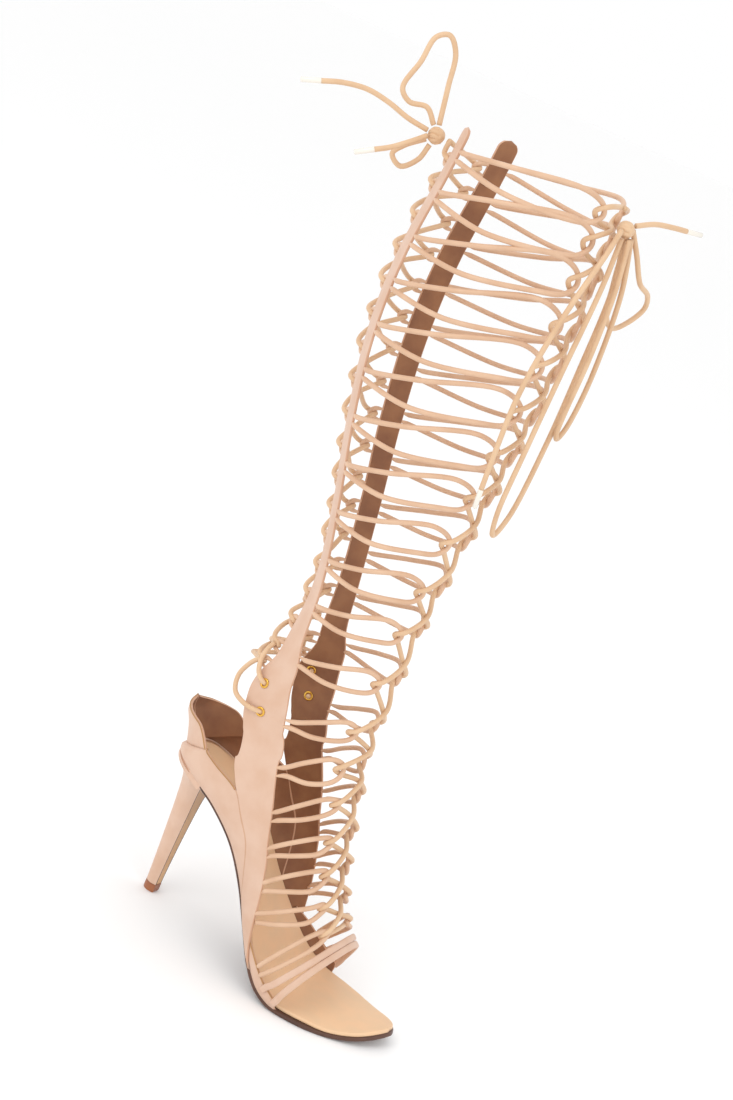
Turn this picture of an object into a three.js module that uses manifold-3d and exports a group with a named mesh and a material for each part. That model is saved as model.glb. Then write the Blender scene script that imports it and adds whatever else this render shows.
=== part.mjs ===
// Knee-high lace-up gladiator sandal on a stiletto heel, right shoe, EU 38.
// +X toe, +Y medial, +Z up, millimetres; origin under the heel tip.
import * as THREE from "three";
import Module from "manifold-3d";

const wasm = await Module();
wasm.setup();

// ---------------------------------------------------------------- sizes
const OUTSOLE_THICK = 3;
const INSOLE_THICK = 2.7;
const GAP = 0.3;
const WALL = 1.8;
const CORD = 3.3;
const STRAP_THICK = 2.4;
const SKIN_CLEAR = 0.2;
const HEEL_TIP_HEIGHT = 6;
const EYELET_FLANGE = 6.8;
const EYELET_HOLE = 3.6;
const FOOT_AHEAD = 10;
const CORD_SIDES = 8;
const KNOT_RADIUS = 5.4;
const AGLET_LENGTH = 12;
const RAD = Math.PI / 180;

// Underside of the outsole in side view, heel back to toe tip.
const SOLE_LINE = [
  { x: -27, z: 109 },
  { x: -5, z: 101.5 },
  { x: 18, z: 92 },
  { x: 40, z: 76 },
  { x: 60, z: 54 },
  { x: 78, z: 32 },
  { x: 92, z: 16 },
  { x: 104, z: 6 },
  { x: 116, z: 1 },
  { x: 127, z: 0 },
  { x: 140, z: 0 },
  { x: 153, z: 0 },
  { x: 166, z: 1.6 },
  { x: 178, z: 5 },
  { x: 187, z: 9 },
];

// Half widths of the outsole, at a distance along it from the heel back.
const OUTLINE = [
  { p: 0, lateral: 0, medial: 0 },
  { p: 1.5, lateral: 9, medial: 9 },
  { p: 5, lateral: 16, medial: 16 },
  { p: 12, lateral: 22, medial: 22 },
  { p: 26, lateral: 26.5, medial: 26.5 },
  { p: 50, lateral: 27, medial: 26 },
  { p: 75, lateral: 26, medial: 22.5 },
  { p: 100, lateral: 27.5, medial: 21.5 },
  { p: 125, lateral: 32.5, medial: 26 },
  { p: 150, lateral: 38.5, medial: 33 },
  { p: 168, lateral: 41, medial: 38.5 },
  { p: 186, lateral: 40, medial: 40.5 },
  { p: 206, lateral: 35, medial: 38.5 },
  { p: 222, lateral: 26.5, medial: 33 },
  { p: 236, lateral: 16.5, medial: 27 },
  { p: 243, lateral: 9, medial: 22.5 },
  { p: 248, lateral: 2, medial: 17.5 },
  { p: 250.4, lateral: -3, medial: 13 },
  { p: 251.2, lateral: -6, medial: 10 },
];

// Sections of the foot and leg form, fanned round the instep. p: where the
// section meets the sole; bx, bz: its back point above the heel; fx, fz: its
// front point; wide: half width; deep: where the widest point lies from front
// to back; boxy: how far the back half keeps its width toward the sole edge.
const FORM = [
  { p: 222, bx: 0, bz: 0, fx: 172, fz: 26, wide: 36, deep: 0.7, boxy: 1 },
  { p: 200, bx: 0, bz: 0, fx: 152, fz: 34, wide: 40.5, deep: 0.7, boxy: 1 },
  { p: 178, bx: 0, bz: 0, fx: 134, fz: 45, wide: 42.5, deep: 0.7, boxy: 1 },
  { p: 158, bx: 0, bz: 0, fx: 121, fz: 60, wide: 41, deep: 0.7, boxy: 1 },
  { p: 132, bx: 0, bz: 0, fx: 111, fz: 82, wide: 37.5, deep: 0.66, boxy: 1 },
  { p: 105, bx: 0, bz: 0, fx: 103, fz: 107, wide: 35, deep: 0.62, boxy: 1 },
  { p: 72, bx: 0, bz: 0, fx: 97, fz: 133, wide: 34, deep: 0.6, boxy: 0.7 },
  { p: 36, bx: 0, bz: 0, fx: 93, fz: 153, wide: 33, deep: 0.58, boxy: 0.3 },
  { p: 0, bx: -24, bz: 112, fx: 91, fz: 168, wide: 31, deep: 0.56, boxy: 0 },
  { p: 0, bx: -33, bz: 139, fx: 90, fz: 182, wide: 31, deep: 0.54, boxy: 0 },
  { p: 0, bx: -17, bz: 172, fx: 89, fz: 197, wide: 32, deep: 0.52, boxy: 0 },
  { p: 0, bx: 3, bz: 204, fx: 88, fz: 214, wide: 32, deep: 0.5, boxy: 0 },
  { p: 0, bx: 13, bz: 238, fx: 87, fz: 239, wide: 31.5, deep: 0.5, boxy: 0 },
  { p: 0, bx: 13, bz: 272, fx: 87, fz: 272, wide: 33, deep: 0.5, boxy: 0 },
  { p: 0, bx: 4, bz: 317, fx: 89, fz: 317, wide: 39, deep: 0.5, boxy: 0 },
  { p: 0, bx: -9, bz: 367, fx: 92, fz: 367, wide: 46, deep: 0.5, boxy: 0 },
  { p: 0, bx: -19, bz: 420, fx: 95, fz: 420, wide: 52, deep: 0.5, boxy: 0 },
  { p: 0, bx: -21, bz: 473, fx: 95, fz: 473, wide: 53.5, deep: 0.5, boxy: 0 },
  { p: 0, bx: -15, bz: 526, fx: 91, fz: 526, wide: 52, deep: 0.5, boxy: 0 },
  { p: 0, bx: -12, bz: 560, fx: 89, fz: 560, wide: 51, deep: 0.5, boxy: 0 },
];

// Edges of one quarter and its stay, as angles round the form (0 front, 180
// back or sole edge) at each section. notch: counter's edge of the heel cut.
const QUARTER = [
  { s: 3.15, front: 178, back: 180, notch: 180 },
  { s: 3.5, front: 150, back: 180, notch: 180 },
  { s: 4, front: 120, back: 180, notch: 180 },
  { s: 4.5, front: 102, back: 180, notch: 180 },
  { s: 5.2, front: 89, back: 140, notch: 140 },
  { s: 5.8, front: 85, back: 119, notch: 119 },
  { s: 6.4, front: 79, back: 114, notch: 114 },
  { s: 7, front: 74, back: 107, notch: 107 },
  { s: 7.5, front: 70, back: 99, notch: 113 },
  { s: 8, front: 67, back: 93, notch: 119 },
  { s: 8.6, front: 68, back: 92, notch: 136 },
  { s: 8.9, front: 70, back: 94, notch: 153 },
  { s: 9.1, front: 71, back: 96.5, notch: 180 },
  { s: 9.6, front: 76, back: 106, notch: 180 },
  { s: 10.1, front: 83, back: 117, notch: 180 },
  { s: 10.6, front: 92, back: 126, notch: 180 },
  { s: 11.1, front: 101, back: 130, notch: 180 },
  { s: 11.6, front: 113, back: 139, notch: 180 },
  { s: 12.2, front: 121, back: 146, notch: 180 },
  { s: 13.2, front: 128, back: 151, notch: 180 },
  { s: 14.2, front: 131, back: 151.5, notch: 180 },
  { s: 15.4, front: 132.5, back: 150.5, notch: 180 },
  { s: 16.6, front: 133, back: 149.5, notch: 180 },
  { s: 17.8, front: 132.5, back: 148.5, notch: 180 },
  { s: 18.9, front: 132, back: 148, notch: 180 },
];

// Top edge of the low side piece at the ball of the foot, and middle lines
// of the two toe bands at an angle round the form (0 is the middle of the foot).
const RIM = [
  { s: 1.6, top: 176 },
  { s: 1.75, top: 124 },
  { s: 2, top: 112 },
  { s: 2.5, top: 113 },
  { s: 3, top: 118 },
  { s: 3.5, top: 128 },
  { s: 4, top: 146 },
];
const TOE_BANDS = [
  { t: 0, fore: 1.95, aft: 2.19 },
  { t: 45, fore: 1.93, aft: 2.2 },
  { t: 80, fore: 1.87, aft: 2.27 },
  { t: 106, fore: 1.82, aft: 2.36 },
  { t: 130, fore: 1.82, aft: 2.38 },
];

// Cord loops of one side, toe to knee: where each leaves the edge and where
// its tip lies at the front, as sections of the form; tall: opening at the tip.
const LOOPS = [
  { root: 2.95, tip: 2.8, tall: 9 },
  { root: 4.2, tip: 3.6, tall: 9 },
  { root: 4.85, tip: 4.45, tall: 13 },
  { root: 5.55, tip: 5.3, tall: 11 },
  { root: 6.3, tip: 6.3, tall: 11 },
  { root: 7.5, tip: 7.6, tall: 16 },
  { root: 9.3, tip: 9.4, tall: 15 },
  { root: 11.2, tip: 11.35, tall: 16 },
  { root: 12.3, tip: 12.6, tall: 17 },
  { root: 13.15, tip: 13.4, tall: 20 },
  { root: 13.85, tip: 14.15, tall: 21 },
  { root: 14.47, tip: 14.8, tall: 22 },
  { root: 15.05, tip: 15.38, tall: 24 },
  { root: 15.6, tip: 15.94, tall: 25 },
  { root: 16.14, tip: 16.5, tall: 25 },
  { root: 16.67, tip: 17.02, tall: 25 },
  { root: 17.2, tip: 17.52, tall: 25 },
  { root: 17.74, tip: 18, tall: 24 },
  { root: 18.35, tip: 18.5, tall: 20 },
];

// Stiletto heel, seat to tip: back and front of each section in side view and
// its half width.
const HEEL = [
  { bx: -15.2, bz: 107.6, fx: 15, fz: 96.6, half: 25 },
  { bx: -13.4, bz: 103, fx: 12.5, fz: 93.5, half: 20 },
  { bx: -11.6, bz: 96, fx: 10, fz: 89, half: 14 },
  { bx: -10, bz: 86, fx: 8.2, fz: 82, half: 9.8 },
  { bx: -8.6, bz: 70, fx: 7, fz: 68, half: 7.5 },
  { bx: -7, bz: 45, fx: 5.8, fz: 44, half: 6 },
  { bx: -5.6, bz: 20, fx: 4.9, fz: 20, half: 5 },
  { bx: -5, bz: 6.3, fx: 4.6, fz: 6.3, half: 4.7 },
];

// ---------------------------------------------------------------- curves
function mix(a, b, f) {
  return a + (b - a) * f;
}

// Smooth value of one column of a table at a key, through every row.
function column(table, key, name, at) {
  let i = 0;
  while (i < table.length - 2 && at > table[i + 1][key]) {
    i += 1;
  }
  const k = (j) => table[Math.min(Math.max(j, 0), table.length - 1)];
  const [a, b, c, d] = [k(i - 1), k(i), k(i + 1), k(i + 2)];
  const span = c[key] - b[key];
  const f = Math.min(Math.max((at - b[key]) / span, 0), 1);
  const slopeB = a === b ? c[name] - b[name] : ((c[name] - a[name]) / (c[key] - a[key])) * span;
  const slopeC = d === c ? c[name] - b[name] : ((d[name] - b[name]) / (d[key] - b[key])) * span;
  const f2 = f * f;
  const f3 = f2 * f;
  return (2 * f3 - 3 * f2 + 1) * b[name] + (f3 - 2 * f2 + f) * slopeB
    + (3 * f2 - 2 * f3) * c[name] + (f3 - f2) * slopeC;
}

FORM.forEach((row, index) => {
  row.s = index;
});

const soleCurve = new THREE.CatmullRomCurve3(
  SOLE_LINE.map((row) => new THREE.Vector3(row.x, 0, row.z)),
);
soleCurve.arcLengthDivisions = 400;
const OUTLINE_END = OUTLINE[OUTLINE.length - 1].p;

// Point at p along the sole, y across, h above its underside.
function solePoint(p, y, h) {
  const u = Math.min(Math.max(p / OUTLINE_END, 0), 1);
  const at = soleCurve.getPointAt(u);
  const along = soleCurve.getTangentAt(u);
  return new THREE.Vector3(at.x - along.z * h + FOOT_AHEAD, y, Math.max(at.z, 0) + along.x * h);
}

// Half width of the outsole; side is -1 lateral, 1 medial.
function soleHalf(p, side) {
  if (p <= 0) {
    return 0;
  }
  return column(OUTLINE, "p", side < 0 ? "lateral" : "medial", p);
}

// Point on the foot and leg form at section s and angle t, side -1 or 1,
// lifted off the form by out.
const INSET = WALL + SKIN_CLEAR;
function formBase(s, t, side) {
  const p = Math.max(column(FORM, "s", "p", s), 0);
  const front = new THREE.Vector3(column(FORM, "s", "fx", s), 0, column(FORM, "s", "fz", s));
  front.x += FOOT_AHEAD;
  let back = solePoint(Math.max(p, INSET), 0, OUTSOLE_THICK + GAP);
  if (s > 8) {
    const seat = back;
    back = new THREE.Vector3(column(FORM, "s", "bx", s), 0, column(FORM, "s", "bz", s));
    back.x += FOOT_AHEAD;
    back.lerp(seat, Math.max(0, 1 - (s - 8) / 0.5) ** 2);
  }
  const wide = column(FORM, "s", "wide", s);
  const middle = front.clone().lerp(back, column(FORM, "s", "deep", s));
  const c = Math.cos(t * RAD);
  if (c >= 0) {
    const at = middle.clone().lerp(front, c);
    at.y = side * wide * Math.sin(t * RAD);
    return at;
  }
  const at = middle.clone().lerp(back, -c);
  const edge = Math.max(soleHalf(p, side) - INSET, 0);
  const boxy = Math.max(column(FORM, "s", "boxy", s), 0);
  at.y = side * mix(edge, wide, Math.sin(t * RAD) ** (1 + 0.6 * boxy));
  return at;
}

function formNormal(s, t, side) {
  if (t > 179 && s <= 8) {
    const p = Math.max(column(FORM, "s", "p", s), 0);
    const slope = p < 0.5 ? 50 : (soleHalf(p + 0.5, side) - soleHalf(p - 0.5, side)) / 1;
    const along = solePoint(p + 1, 0, 0).sub(solePoint(p, 0, 0)).normalize();
    return along.multiplyScalar(-slope).add(new THREE.Vector3(0, side, 0)).normalize();
  }
  const ds = 0.02;
  const dt = 0.6;
  const t0 = Math.min(Math.max(t, 1), 179);
  const alongS = formBase(s + ds, t0, side).sub(formBase(s - ds, t0, side));
  const alongT = formBase(s, t0 + dt, side).sub(formBase(s, t0 - dt, side));
  const normal = alongT.cross(alongS).normalize().multiplyScalar(side);
  if (t > 179 || t < 1) {
    normal.y = 0;
  }
  return normal.normalize();
}

function formPoint(s, t, side, out) {
  const at = formBase(s, t, side);
  return at.addScaledVector(formNormal(s, t, side), out);
}

// ---------------------------------------------------------------- solids
function toManifold(vertices, triangles) {
  const mesh = new wasm.Mesh({
    numProp: 3,
    vertProperties: new Float32Array(vertices.flat()),
    triVerts: new Uint32Array(triangles.flat()),
  });
  mesh.merge();
  const solid = new wasm.Manifold(mesh);
  return solid.volume() < 0 ? toManifold(vertices, triangles.map(([a, b, c]) => [a, c, b])) : solid;
}

function toGeometry(manifold) {
  const mesh = manifold.getMesh();
  const geometry = new THREE.BufferGeometry();
  geometry.setAttribute("position", new THREE.BufferAttribute(mesh.vertProperties, 3));
  geometry.setIndex(new THREE.BufferAttribute(mesh.triVerts, 1));
  return geometry;
}

// A sheet of quads with a thickness: cells are four corners, each corner is
// { key, at, normal }; corners with one key are one vertex.
function thicken(cells, inside, outside) {
  const index = new Map();
  const vertices = [];
  const corner = (c) => {
    if (!index.has(c.key)) {
      index.set(c.key, vertices.length);
      const inner = c.at.clone().addScaledVector(c.normal, inside);
      const outer = c.at.clone().addScaledVector(c.normal, outside);
      vertices.push([inner.x, inner.y, inner.z], [outer.x, outer.y, outer.z]);
    }
    return index.get(c.key);
  };
  const triangles = [];
  const edges = new Map();
  for (const cell of cells) {
    const ids = cell.map(corner).filter((id, i, all) => all.indexOf(id) === i);
    for (let i = 1; i < ids.length - 1; i += 1) {
      triangles.push([ids[0] + 1, ids[i] + 1, ids[i + 1] + 1]);
      triangles.push([ids[0], ids[i + 1], ids[i]]);
    }
    for (let i = 0; i < ids.length; i += 1) {
      const [a, b] = [ids[i], ids[(i + 1) % ids.length]];
      if (edges.has(`${b}_${a}`)) {
        edges.delete(`${b}_${a}`);
      } else {
        edges.set(`${a}_${b}`, [a, b]);
      }
    }
  }
  for (const [a, b] of edges.values()) {
    triangles.push([a, b, b + 1], [a, b + 1, a + 1]);
  }
  return toManifold(vertices, triangles);
}

// Loft of closed rings, each the same number of points, with flat ends.
function loft(rings) {
  const vertices = rings.flat().map((v) => [v.x, v.y, v.z]);
  const n = rings[0].length;
  const triangles = [];
  for (let r = 0; r < rings.length - 1; r += 1) {
    for (let i = 0; i < n; i += 1) {
      const j = (i + 1) % n;
      const [a, b, c, d] = [r * n + i, r * n + j, (r + 1) * n + j, (r + 1) * n + i];
      triangles.push([a, b, c], [a, c, d]);
    }
  }
  const last = (rings.length - 1) * n;
  for (let i = 1; i < n - 1; i += 1) {
    triangles.push([0, i + 1, i], [last, last + i, last + i + 1]);
  }
  const solid = toManifold(vertices, triangles);
  return solid;
}

// Round tube through points, with a fixed count of sides and flat ends.
function tube(points, radius, sides) {
  const rings = [];
  let up = new THREE.Vector3(0.31, 0.52, 0.79);
  for (let i = 0; i < points.length; i += 1) {
    const ahead = points[Math.min(i + 1, points.length - 1)].clone();
    const along = ahead.sub(points[Math.max(i - 1, 0)]).normalize();
    up = up.clone().addScaledVector(along, -up.dot(along)).normalize();
    const across = along.clone().cross(up);
    const ring = [];
    for (let k = 0; k < sides; k += 1) {
      const a = (k / sides) * 2 * Math.PI;
      const at = points[i].clone();
      at.addScaledVector(up, radius * Math.cos(a)).addScaledVector(across, -radius * Math.sin(a));
      ring.push(at);
    }
    rings.push(ring.reverse());
  }
  return loft(rings);
}

// Points along a smooth curve through stations, steps from each to the next.
function smooth(stations, steps) {
  const curve = new THREE.CatmullRomCurve3(stations, false, "centripetal");
  return curve.getPoints((stations.length - 1) * steps);
}

// Points evenly spaced along a smooth curve through stations.
function spaced(stations, count) {
  const curve = new THREE.CatmullRomCurve3(stations, false, "centripetal");
  curve.arcLengthDivisions = 200;
  return curve.getSpacedPoints(count);
}

const colours = {
  leather: 0xe3bfa6,
  cord: 0xe8c6a6,
  edge: 0x6b4632,
  insole: 0xe9c39c,
  tip: 0x9c6040,
  gold: 0xd4a24a,
  clear: 0xe8e4dc,
};

const group = new THREE.Group();
group.name = "gladiator_sandal";

function addNode(name, solid, colour) {
  const shape = solid instanceof THREE.BufferGeometry ? solid : toGeometry(solid);
  const material = new THREE.MeshStandardMaterial({ color: colour, roughness: 0.6 });
  const mesh = new THREE.Mesh(shape, material);
  mesh.name = name;
  group.add(mesh);
}

// ---------------------------------------------------------------- outsole and insole
// Flat layer bent along the sole line, between two heights, inset from the
// outline by inset(p).
function soleLayer(low, high, inset, from, to) {
  const rings = [];
  const stations = [];
  for (let p = from; p < to - 8; p += p < 20 || p > 222 ? 4 : 9) {
    stations.push(p);
  }
  stations.push(to - 4, to - 1.2, to);
  for (const p of stations) {
    const left = soleHalf(p, 1) - inset(p);
    const right = -soleHalf(p, -1) + inset(p);
    const half = Math.max((left - right) / 2, 1.2);
    const centre = (left + right) / 2;
    const corners = [
      [centre - half, low], [centre, low], [centre + half, low],
      [centre + half, high], [centre, high], [centre - half, high],
    ];
    rings.push(corners.map(([y, h]) => solePoint(p, y, h)).reverse());
  }
  return loft(rings);
}

addNode("outsole", soleLayer(0, OUTSOLE_THICK, () => 0, 0.3, OUTLINE_END), colours.edge);

// The insole lies inside the upper's wall, and reaches the edge at the toe.
const INSOLE_INSET = INSET + GAP + 0.6;
function insoleInset(p) {
  const free = Math.min(Math.max((p - 206) / 14, 0), 1);
  return mix(INSOLE_INSET, 0.4, free);
}
const INSOLE_LOW = OUTSOLE_THICK + GAP;
addNode(
  "insole",
  soleLayer(INSOLE_LOW, INSOLE_LOW + INSOLE_THICK, insoleInset, 5.5, OUTLINE_END - 1),
  colours.insole,
);

// ---------------------------------------------------------------- heel
// One D-shaped section: rounded back, flat breast.
function heelRing(row) {
  const ring = [];
  const deep = 0.35;
  const middle = { x: mix(row.fx, row.bx, deep), z: mix(row.fz, row.bz, deep) };
  for (let a = -90; a <= 90; a += 15) {
    const c = Math.cos(a * RAD);
    ring.push(new THREE.Vector3(
      mix(middle.x, row.bx, c), row.half * Math.sin(a * RAD), mix(middle.z, row.bz, c),
    ));
  }
  ring.push(new THREE.Vector3(row.fx, row.half * 0.8, row.fz));
  ring.push(new THREE.Vector3(row.fx, -row.half * 0.8, row.fz));
  return ring;
}
addNode("heel", loft(HEEL.map(heelRing)), colours.leather);

const tipSection = { ...HEEL[HEEL.length - 1], bz: HEEL_TIP_HEIGHT, fz: HEEL_TIP_HEIGHT };
addNode(
  "heel_tip",
  loft([heelRing(tipSection), heelRing({ ...tipSection, bz: 0, fz: 0 })]),
  colours.tip,
);

// ---------------------------------------------------------------- upper
// The quarters stand a little proud where they lie over the low side pieces.
function proud(s) {
  return 1.1 * Math.min(Math.max(5.2 - s, 0), 1);
}

function corner(s, t, side, out) {
  const shared = (t > 179.99 && s > 7.999) || t < 0.01;
  const normal = formNormal(s, t, side);
  return {
    key: `${shared ? 0 : side}_${s.toFixed(3)}_${t.toFixed(2)}`,
    at: formBase(s, t, side).addScaledVector(normal, out),
    normal,
  };
}

// Cells of a strip between two edge lines from(s), to(s) over stations of s.
function stripCells(stations, from, to, count, side, out) {
  const cells = [];
  for (let i = 0; i < stations.length - 1; i += 1) {
    for (let k = 0; k < count; k += 1) {
      const at = (s, j) => corner(s, mix(from(s), to(s), j / count), side, out(s));
      const [s0, s1] = [stations[i], stations[i + 1]];
      const cell = [at(s0, k), at(s0, k + 1), at(s1, k + 1), at(s1, k)];
      cells.push(side > 0 ? cell : cell.reverse());
    }
  }
  return cells;
}

const NOTCH_S = 7;
const TOPLINE_S = 9.1;
const footStations = [3.15, 3.5, 4, 4.5, 5.2, 5.8, 6.4, NOTCH_S, 7.5, 8, 8.5];
const shaftStations = [TOPLINE_S, 9.6, 10.1, 10.6, 11.1, 11.6, 12.2, 13, 13.8, 14.6, 15.4, 16.2, 17, 17.8, 18.6];
const quarterStations = [...footStations, ...shaftStations];
const counterStations = [4.5, 5.2, 5.8, 6.4, NOTCH_S, 7.4, 7.7, 7.88, 7.96, 8, 8.3, 8.6, 8.9, 9.02, TOPLINE_S];
const edge = (name) => (s) => Math.min(column(QUARTER, "s", name, s), 180);
const soleEdge = () => 180;

const upperCells = [];
for (const side of [-1, 1]) {
  upperCells.push(...stripCells(quarterStations, edge("front"), edge("back"), 3, side, proud));
  upperCells.push(...stripCells(counterStations, edge("notch"), soleEdge, 3, side, proud));
}
let upper = thicken(upperCells, SKIN_CLEAR, INSET);

// Low side pieces at the ball, under the quarters' points.
const rimStations = [1.6, 1.75, 2, 2.5, 3, 3.5, 4];
const rimTop = (s) => column(RIM, "s", "top", s);
const flush = () => 0;
for (const side of [-1, 1]) {
  const cells = stripCells(rimStations, rimTop, soleEdge, 2, side, flush);
  upper = upper.add(thicken(cells, SKIN_CLEAR - 0.4, INSET - 0.5));
}

// Two bands over the toes, side by side in the middle.
const bandStations = [130, 118, 106, 93, 80, 62, 45, 30, 15, 0];
function bandCells(name, out) {
  const half = 0.12;
  const cells = [];
  for (const side of [-1, 1]) {
    for (let i = 0; i < bandStations.length - 1; i += 1) {
      const at = (t, end) => {
        const s = column(TOE_BANDS, "t", name, t) + end * half;
        const found = corner(s, t, side, out);
        found.key = `${t < 0.01 ? 0 : side}_${t}_${end}`;
        return found;
      };
      const [t0, t1] = [bandStations[i + 1], bandStations[i]];
      const cell = [at(t0, -1), at(t1, -1), at(t1, 1), at(t0, 1)];
      cells.push(side > 0 ? cell : cell.reverse());
    }
  }
  return cells;
}
upper = upper.add(thicken(bandCells("fore", 0), SKIN_CLEAR + 0.5, SKIN_CLEAR + 0.5 + STRAP_THICK));
upper = upper.add(thicken(bandCells("aft", 0), SKIN_CLEAR + 0.9, SKIN_CLEAR + 0.9 + STRAP_THICK));
// The largest body: slivers closed in between two layers are dropped.
function largest(solid) {
  return solid.decompose().sort((a, b) => b.volume() - a.volume())[0];
}
// The lower edge is trimmed to the top of the outsole.
const soleBelow = soleLayer(-9, OUTSOLE_THICK + GAP, () => -6, 0, OUTLINE_END);
const insoleRoom = soleLayer(
  INSOLE_LOW - 1, INSOLE_LOW + INSOLE_THICK + GAP, (p) => insoleInset(p) - GAP, 5.2, OUTLINE_END,
);

// ---------------------------------------------------------------- eyelets
// Flanged gold ring, as a turned profile round its own axis.
function eyeletGeometry(at, normal) {
  const [hole, outer] = [EYELET_HOLE / 2, EYELET_FLANGE / 2];
  const profile = [
    [hole, -0.7], [outer, -0.7], [outer, -0.3], [hole + 0.5, -0.3], [hole + 0.5, WALL + 0.3],
    [outer, WALL + 0.3], [outer, WALL + 0.9], [hole, WALL + 0.9], [hole, -0.7],
  ];
  const shape = new THREE.LatheGeometry(profile.map(([r, h]) => new THREE.Vector2(r, h)), 8);
  const turn = new THREE.Quaternion().setFromUnitVectors(new THREE.Vector3(0, 1, 0), normal);
  shape.applyQuaternion(turn);
  shape.translate(at.x, at.y, at.z);
  return shape;
}

const EYELETS = [
  { name: "lower", s: 9.5, t: 91 },
  { name: "upper", s: 10.3, t: 109 },
];
const eyeletShapes = [];
for (const [label, side] of [["lateral", -1], ["medial", 1]]) {
  for (const row of EYELETS) {
    const normal = formNormal(row.s, row.t, side);
    const at = formPoint(row.s, row.t, side, SKIN_CLEAR);
    const drill = [-4, 6].map((h) => at.clone().addScaledVector(normal, h));
    upper = upper.subtract(tube(drill, EYELET_HOLE / 2 + 0.9, 12));
    const flat = [-3, 0].map((h) => at.clone().addScaledVector(normal, h));
    const over = [WALL, WALL + 3].map((h) => at.clone().addScaledVector(normal, h));
    upper = upper.subtract(tube(flat, EYELET_FLANGE / 2 + 0.4, 12));
    upper = upper.subtract(tube(over, EYELET_FLANGE / 2 + 0.4, 12));
    eyeletShapes.push([`eyelet_${label}_${row.name}`, eyeletGeometry(at, normal)]);
  }
}
addNode("upper", largest(upper.subtract(soleBelow).subtract(insoleRoom)), colours.leather);
eyeletShapes.forEach(([name, shape]) => addNode(name, shape, colours.gold));

// ---------------------------------------------------------------- front lacing
// Millimetres of form per section step, near s on the side of the leg.
function stepLength(s, t) {
  return formBase(s + 0.1, t, 1).distanceTo(formBase(s - 0.1, t, 1)) / 0.2;
}

// Point at a signed angle a: positive medial, negative lateral.
function around(s, a, out) {
  return formPoint(s, Math.abs(a), a < 0 ? -1 : 1, out);
}

const TIP_FROM_MIDDLE = 13;
const LOOP_ROOT_GAP = 5.5;
const ROOT_CLEAR = 3.3;
const CORD_OUT = 1.7;
const NET_SIDES = 4;
const NET_RADIUS = 1.1 * (CORD / 2);
const NET_STEPS = 2;
const SIMPLER = 0.25;

function tipAngle(s) {
  return Math.asin(TIP_FROM_MIDDLE / column(FORM, "s", "wide", s)) / RAD;
}

function rootAngle(index) {
  const s = LOOPS[index].root;
  const clear = ROOT_CLEAR / column(FORM, "s", "wide", s) / RAD;
  return (index === 0 ? rimTop(s) : edge("front")(s)) - clear;
}

function loopPath(index, side) {
  const { root, tip, tall } = LOOPS[index];
  const rootA = rootAngle(index);
  const tipA = tipAngle(tip);
  const rootStep = LOOP_ROOT_GAP / 2 / stepLength(root, rootA);
  const tipStep = tall / 2 / stepLength(tip, 30);
  const at = (s, f, out) => around(s, side * mix(rootA, tipA, f), out);
  const stations = [
    at(root + rootStep, 0, 1.4),
    at(mix(root, tip, 0.4) + mix(rootStep, tipStep, 0.5), 0.4, CORD_OUT),
    at(tip + tipStep * 0.85, 0.82, CORD_OUT),
    at(tip, 1, CORD_OUT),
    at(tip - tipStep, 0.78, CORD_OUT),
    at(mix(root, tip, 0.4) - mix(rootStep, tipStep, 0.75), 0.4, CORD_OUT),
    at(root - rootStep, 0, 1.4),
  ];
  return smooth(stations, NET_STEPS);
}

let net = null;
for (const side of [-1, 1]) {
  for (let index = 0; index < LOOPS.length; index += 1) {
    const loop = tube(loopPath(index, side), NET_RADIUS, NET_SIDES);
    net = net ? net.add(loop) : loop;
  }
  const strand = [];
  for (let index = 0; index < LOOPS.length; index += 1) {
    const here = index % 2 === 0 ? side : -side;
    const { tip } = LOOPS[index];
    strand.push(around(tip, here * (tipAngle(tip) + 1.5), CORD_OUT + 0.5));
    if (index < LOOPS.length - 1) {
      strand.push(around(mix(tip, LOOPS[index + 1].tip, 0.5), 0, CORD_OUT + 0.6));
    }
  }
  const lastTip = LOOPS[LOOPS.length - 1].tip;
  strand.push(around(lastTip + 0.2, 0, CORD_OUT + 1));
  net = net.add(tube(smooth(strand, NET_STEPS), NET_RADIUS, NET_SIDES));
}
const bottomBar = [-1, -0.5, 0, 0.5, 1].map((f) => {
  const tip = LOOPS[0].tip;
  return around(tip - 0.06, f * tipAngle(tip), CORD_OUT + 0.4);
});
net = net.add(tube(bottomBar, NET_RADIUS, NET_SIDES));
// The cords stop short of the leather they come out of.
const roomCells = [];
for (const side of [-1, 1]) {
  const ahead = (s) => edge("front")(s) - 0.8;
  roomCells.push(stripCells(quarterStations, ahead, edge("back"), 3, side, proud));
  roomCells.push(stripCells(rimStations, (s) => rimTop(s) - 1, soleEdge, 2, side, flush));
}
for (const cells of roomCells) {
  net = net.subtract(thicken(cells, SKIN_CLEAR - 0.7, INSET + GAP));
}
addNode("front_lacing", largest(net.asOriginal().simplify(SIMPLER)), colours.cord);

// ---------------------------------------------------------------- back lacing
// Two strands crossing between the stays, over their back edges.
const BACK_OUT = INSET + NET_RADIUS + 0.9;
const backLevels = [10.35, 11, 11.7, 12.35, 13];
for (let s = 13.45; s < 18.5; s += 0.4) {
  backLevels.push(s);
}
let backNet = null;
for (const side of [-1, 1]) {
  const strand = [];
  backLevels.forEach((s, index) => {
    const here = index % 2 === 0 ? side : -side;
    strand.push(around(s, here * (edge("back")(s) - 1), BACK_OUT));
    if (index < backLevels.length - 1) {
      strand.push(around(mix(s, backLevels[index + 1], 0.5), side * 180, BACK_OUT));
    }
  });
  strand.push(around(18.45, -156, BACK_OUT + 1.6));
  const tubeOf = tube(smooth(strand, NET_STEPS), NET_RADIUS, NET_SIDES);
  backNet = backNet ? backNet.add(tubeOf) : tubeOf;
}
const ankleBow = around(9.9, 180, 6);
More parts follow.
